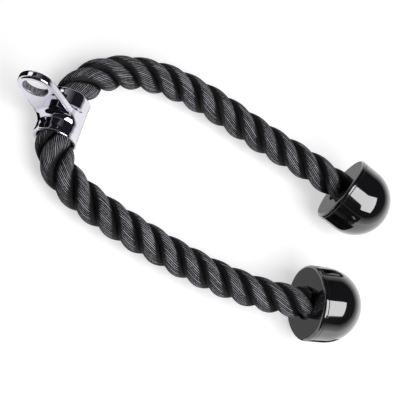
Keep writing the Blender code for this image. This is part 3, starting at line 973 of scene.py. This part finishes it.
class PULLDOWN_OT_caps(bpy.types.Operator):
    """Makes the two end caps, each a flat lid and a round-ended shell"""

    bl_idname = "pulldown.caps"
    bl_label = "End caps"

    def execute(self, context):
        s = context.scene.pulldown_cap
        material = once("gloss_black_plastic", plastic_finish, s)
        hole = ROPE_DIAMETER / 2 + LID_HOLE_CLEARANCE
        skirt = s.radius - SHELL_WALL - FACE_GAP
        low, high = LID_THICKNESS, LID_THICKNESS + SKIRT_DEPTH
        lid = [
            (hole, 0.002, 0),
            (hole, 0, 0.001),
            (s.radius, 0, LID_EDGE_ROUNDING),
            (s.radius, low, 0.0003),
            (skirt, low, 0.0002),
            (skirt, high, 0.0004),
            (skirt - SKIRT_WALL, high, 0.0004),
            (skirt - SKIRT_WALL, low, 0.0003),
            (hole, low, 0.0004),
            (hole, 0.0025, 0),
        ]
        inner = s.radius - SHELL_WALL
        mouth = LID_THICKNESS + FACE_GAP
        round_end = SHELL_CENTRE - 0.0005
        rim = [
            (s.radius, round_end, 0),
            (s.radius, mouth, 0.0004),
            (inner, mouth, 0.0004),
            (inner, round_end, 0),
        ]
        shell = [
            [(0.0, SHELL_CENTRE + s.radius)],
            arc(0, SHELL_CENTRE, s.radius, 88.5, 0, 60),
            corner_line(rim),
            arc(0, SHELL_CENTRE, inner, 0, 88.5, 30),
            [(0.0, SHELL_CENTRE + inner)],
        ]
        pieces = {"lid": (corner_line(lid, 9), True), "shell": (np.concatenate(shell), False)}
        for side in LEGS:
            for name, (outline, closed) in pieces.items():
                looks = ("cap_plastic", material, f"cap_{name}", CAP_SIDES)
                cap_piece(side, name, outline, *looks, closed=closed)
        return {"FINISHED"}


class PULLDOWN_OT_hardware(bpy.types.Operator):
    """Makes what holds each cap: a washer, a crimped sleeve and the rope's melted head"""

    bl_idname = "pulldown.hardware"
    bl_label = "Washers, sleeves and heads"

    def execute(self, context):
        s = context.scene.pulldown_cap
        steel = once("plain_steel", steel_finish, s)
        yarn = once("black_yarn", rope_finish, context.scene.pulldown_rope)
        rope = ROPE_DIAMETER / 2
        inner = rope + FACE_GAP
        start = LID_THICKNESS + FACE_GAP
        end = start + WASHER_THICKNESS
        skirt = s.radius - SHELL_WALL - FACE_GAP - SKIRT_WALL
        wide = inner + (skirt - inner) * WASHER_REACH_SHARE
        washer = [
            (inner, (start + end) / 2, 0),
            (inner, start, 0.0003),
            (wide, start, 0.0004),
            (wide, end, 0.0004),
            (inner, end, 0.0003),
            (inner, (start + end) / 2 + 0.0002, 0),
        ]
        first, last = end + FACE_GAP, end + FACE_GAP + SLEEVE_LENGTH
        outer = inner + SLEEVE_WALL
        rings = [(outer, first + SLEEVE_LENGTH * k / 10, 0) for k in range(2, 9)]
        sleeve = [
            (inner, first, 0),
            (outer, first, 0.001),
            *rings,
            (outer, last, 0.001),
            (inner, last, 0),
        ]
        foot = last + FACE_GAP
        top = foot + MELTED_LENGTH
        flat, full = MELTED_FLAT_RADIUS, rope + MELTED_FLARE
        head = [
            [(0.0, foot)],
            corner_line([(flat, foot, 0), (full, foot, 0.0006), (full, foot + 0.0024, 0)]),
            arc(full - MELTED_FLARE, top - MELTED_FLARE, MELTED_FLARE, 8, 90, 8),
            [(flat, top), (0.0, top)],
        ]

        def crimps(height, theta):
            """Dents round the sleeve's middle: a bell curve of the height times a cosine's cube."""
            middle = (first + last) / 2
            dent = np.exp(-(((height - middle) / CRIMP_REACH) ** 2))
            return -CRIMP_DEPTH * dent * (0.5 + 0.5 * np.cos(CRIMPS * theta)) ** 3

        def lumps(height, theta):
            """Lumps of two sine waves round the head, which grow with the height."""
            rise = np.clip((height - foot) / MELTED_LENGTH, 0, 1)
            return -LUMP_DEPTH * rise * (1 + np.sin(3 * theta + 1) + 0.5 * np.sin(7 * theta))

        washer, sleeve, head = corner_line(washer, 4), corner_line(sleeve, 4), np.concatenate(head)
        for side in LEGS:
            cap_piece(side, "washer", washer, "plain_steel", steel, "cap_washer")
            cap_piece(side, "sleeve", sleeve, "plain_steel", steel, "rope_sleeve", wobble=crimps)
            cap_piece(
                side, "melted_head", head, "rope", yarn, "rope_end", closed=False, wobble=lumps
            )
        return {"FINISHED"}


# Stage
# Rings of the floor's raised edge: how far out and how high, as shares of the edge's height
EDGE_OUT = np.array([0.15, 0.25, 0.3, 0.31])
EDGE_UP = np.array([0.08, 0.3, 0.7, 1.0])
FLAT_RINGS = 12
FIRST_RING_RADIUS = 0.3
BOX_CENTRE = (0.7, -0.88, 1.9)
BOX_TURN_DEGREES = 15
BOX_SIZE = (1.75, 2.05)


def lying(height, *corners):
    """Corners of a card at a height over the floor, from four (x, y)."""
    return [(x, y, height) for x, y in corners]


def rectangle(height, low, high):
    """Corners of an upright rectangle in plan that lies at a height, from two of its corners."""
    return lying(height, low, (high[0], low[1]), high, (low[0], high[1]))


def standing(first, last, low, high):
    """Corners of a card that stands on the line between two (x, y), between two heights."""
    return [(*first, low), (*last, low), (*last, high), (*first, high)]


# Cards that only mirrors show, which paint light and shade into the reflections: the corners of the
# black ones, painted shade on the floor round the collar and under the caps and dark walls to the
# left and ahead, and the corners, colour, radiance and fading of the others, which glow though
# they are no lamps: the grey ones on the floor by the caps paint shade, and the grey one overhead
# and the white ones paint reflections
BLACK, PALE = (0.01, 0.01, 0.01), (0.5, 0.5, 0.5)
ON_FLOOR = 0.0004
PAINTED_SHADE_CARDS = {
    "floor_left": lying(ON_FLOOR, (-1.5, 0.25), (-0.178, -0.01), (-0.166, 0.1), (-1.5, 1.5)),
    "wall_left": standing((-1.5, 0.25), (-1.5, 1.5), 0, 0.45),
    "under_collar": rectangle(0.0003, (-0.178, -0.024), (-0.152, 0.03)),
    "floor_ahead": lying(ON_FLOOR, (-0.24, -0.055), (-0.14, -0.055), (-0.14, -1.5), (-0.27, -1.5)),
    "floor_ahead_left": lying(
        ON_FLOOR, (-0.24, -0.055), (-1.5, -0.5), (-1.5, -1.5), (-0.27, -1.5)
    ),
    "wall_ahead": standing((-1.5, -1.5), (0.75, -1.5), 0, 0.6),
    "wall_ahead_left": standing((-1.5, -1.5), (-1.5, -0.5), 0, 0.5),
    "by_flat": rectangle(ON_FLOOR, (-0.125, -0.03), (-0.107, 0.03)),
    "between_caps": lying(
        ON_FLOOR, (0.143, -0.108), (0.24, -0.108), (0.18, 0.012), (0.143, 0.03)
    ),
}
PAINTED_LIGHT_CARDS = {
    "grey_card_right": (rectangle(ON_FLOOR, (0.09, -0.108), (0.142, -0.02)), BLACK, 0.3),
    "grey_card_left": (rectangle(ON_FLOOR, (0.12, 0.05), (0.172, 0.15)), BLACK, 0.3),
    "grey_card_overhead": (rectangle(0.8, (-1.2, 0.05), (-0.1, 0.5)), BLACK, 0.35, (-1.2, -0.1)),
    "white_card_by_eye": (standing((-0.295, 0.015), (-0.279, 0.042), 0.062, 0.11), PALE, 1.0),
    "white_card": (standing((-0.031, 0.068), (-0.001, 0.018), 0.0, 0.055), PALE, 1.0),
}


def card(name, corners, tint, radiance, fades=None):
    """A flat card of the stage that only mirrors show: it neither lights nor shades anything, but a
    black one paints shade into the reflections and a glowing one paints a reflection.

    With fades, its radiance falls to nothing between two places along X.
    """
    made = piece(name, np.array(corners, float), np.array([[0, 1, 2, 3]]))
    finish = Finish(name, Roughness=1.0, Specular_IOR_Level=0.0, Base_Color=tint)
    if fades:
        radiance = finish.between(finish.parts(finish.coordinates())["X"], radiance, 0.0, *fades)
    finish.surface(Emission_Color=(1.0, 1.0, 1.0), Emission_Strength=radiance)
    made.data.materials.append(finish.material)
    made.visible_camera = made.visible_diffuse = made.visible_shadow = False
    made.visible_transmission = made.visible_volume_scatter = False


def floor_finish(s):
    """A pale floor that keeps the object's shadow, and shows white to the camera and in mirrors.

    Its white grows from 0.6 close to the object to 1 at three metres, and falls to almost nothing
    up the raised edge.
    """
    finish = Finish("pale_floor", Roughness=1.0, Specular_IOR_Level=0.0, Base_Color=tuple(s.floor))
    rays = finish.nodes.new("ShaderNodeLightPath").outputs
    seen = finish.math("MAXIMUM", rays["Is Camera Ray"], rays["Is Transmission Ray"])
    seen = finish.math("MAXIMUM", seen, rays["Is Glossy Ray"])
    place = finish.coordinates()
    near = finish.between(finish.size(place), 0.6, 1.0, 0.3, 3.0)
    up = finish.between(finish.parts(place)["Z"], 1.0, 0.02, 0.0, s.wall_height)
    strength = finish.product(seen, near, up)
    finish.surface(Emission_Color=(1.0, 1.0, 1.0), Emission_Strength=strength)
    return finish.material


def floor_piece(s):
    """A round floor with a raised edge: rings of points, closed by a fan to its middle."""
    flat = np.linspace(FIRST_RING_RADIUS, s.floor_radius, FLAT_RINGS)
    radii = np.concatenate([flat, s.floor_radius + s.wall_height * EDGE_OUT])
    heights = np.concatenate([np.zeros(FLAT_RINGS), s.wall_height * EDGE_UP])
    theta = np.linspace(0, math.tau, FLOOR_SIDES, endpoint=False)
    places = [np.outer(radii, np.cos(theta)), np.outer(radii, np.sin(theta))]
    places.append(np.outer(heights, np.ones(FLOOR_SIDES)))
    points = np.concatenate([np.stack(places, axis=-1).reshape(-1, 3), [(0, 0, 0)]])
    ring = np.arange(FLOOR_SIDES)
    middle = np.full(FLOOR_SIDES, len(points) - 1)
    fans = np.stack([middle, ring, (ring + 1) % FLOOR_SIDES], axis=-1)
    floor = piece("floor", points, ring_faces(len(radii), FLOOR_SIDES)[:, ::-1], fans.tolist())
    floor.data.materials.append(floor_finish(s))


def softbox(radiance):
    """A flat lamp over the object that shines down, its power from its radiance and area."""
    data = bpy.data.lights.new("overhead_softbox", "AREA")
    data.shape = "RECTANGLE"
    data.size, data.size_y = BOX_SIZE
    data.energy = radiance * math.pi * data.size * data.size_y
    lamp = bpy.data.objects.new("overhead_softbox", data)
    bpy.context.scene.collection.objects.link(lamp)
    turn = Matrix.Rotation(math.radians(BOX_TURN_DEGREES), 4, "Z")
    lamp.matrix_world = Matrix.Translation(BOX_CENTRE) @ turn


def room(tint):
    """A world of one colour."""
    world = bpy.data.worlds.new("room")
    world.use_nodes = True
    world.node_tree.nodes["Background"].inputs["Color"].default_value = (*tint, 1)
    return world


def camera():
    """The camera at its place, turned so that its axes are right, up and backwards."""
    data = bpy.data.cameras.new("camera")
    data.lens = CAMERA_LENS
    data.clip_start, data.clip_end = 0.01, 100
    made = bpy.data.objects.new("camera", data)
    bpy.context.scene.collection.objects.link(made)
    axes = np.stack([CAMERA_RIGHT, -np.array(CAMERA_DOWN), -np.array(CAMERA_FORWARD)], axis=-1)
    made.matrix_world = Matrix.Translation(CAMERA_PLACE) @ Matrix(axes.tolist()).to_4x4()
    return made


class PULLDOWN_OT_stage(bpy.types.Operator):
    """Makes the floor, the lamp, the cards, the room and the camera"""

    bl_idname = "pulldown.stage"
    bl_label = "Stage"

    def execute(self, context):
        s = context.scene.pulldown_stage
        floor_piece(s)
        softbox(s.box_radiance)
        # cards that paint shade and reflections into what mirrors show
        for name, corners in PAINTED_SHADE_CARDS.items():
            card(f"painted_shade_card_{name}", corners, BLACK, 0.0)
        for name, looks in PAINTED_LIGHT_CARDS.items():
            card(name, *looks)
        context.scene.world = room(s.world)
        context.scene.camera = camera()
        context.scene.view_settings.view_transform = "Standard"
        return {"FINISHED"}


class PULLDOWN_PT_panel(bpy.types.Panel):
    """Lists the operators and their settings"""

    bl_idname = "PULLDOWN_PT_panel"
    bl_label = "Pull-down rope"
    bl_space_type = "VIEW_3D"
    bl_region_type = "UI"
    bl_category = "Rope"

    def draw(self, context):
        for operator, group in STEPS:
            box = self.layout.box()
            box.operator(operator.bl_idname)
            settings = getattr(context.scene, group)
            for name in type(settings).__annotations__:
                box.prop(settings, name)


STEPS = [
    (PULLDOWN_OT_stage, "pulldown_stage"),
    (PULLDOWN_OT_rope, "pulldown_rope"),
    (PULLDOWN_OT_casting, "pulldown_casting"),
    (PULLDOWN_OT_caps, "pulldown_cap"),
    (PULLDOWN_OT_hardware, "pulldown_cap"),
]
GROUPS = {
    "pulldown_stage": StageSettings,
    "pulldown_rope": RopeSettings,
    "pulldown_casting": CastingSettings,
    "pulldown_cap": CapSettings,
}
CLASSES = [*GROUPS.values(), *(operator for operator, _ in STEPS), PULLDOWN_PT_panel]


def register():
    """Registers the classes and gives the scene their settings."""
    for made in CLASSES:
        bpy.utils.register_class(made)
    for name, group in GROUPS.items():
        setattr(bpy.types.Scene, name, bpy.props.PointerProperty(type=group))


def unregister():
    """Takes the settings from the scene and unregisters the classes."""
    for name in GROUPS:
        delattr(bpy.types.Scene, name)
    for made in reversed(CLASSES):
        bpy.utils.unregister_class(made)


def main():
    register()
    for operator, _ in STEPS:
        family, name = operator.bl_idname.split(".")
        getattr(getattr(bpy.ops, family), name)()


if __name__ == "__main__":
    main()
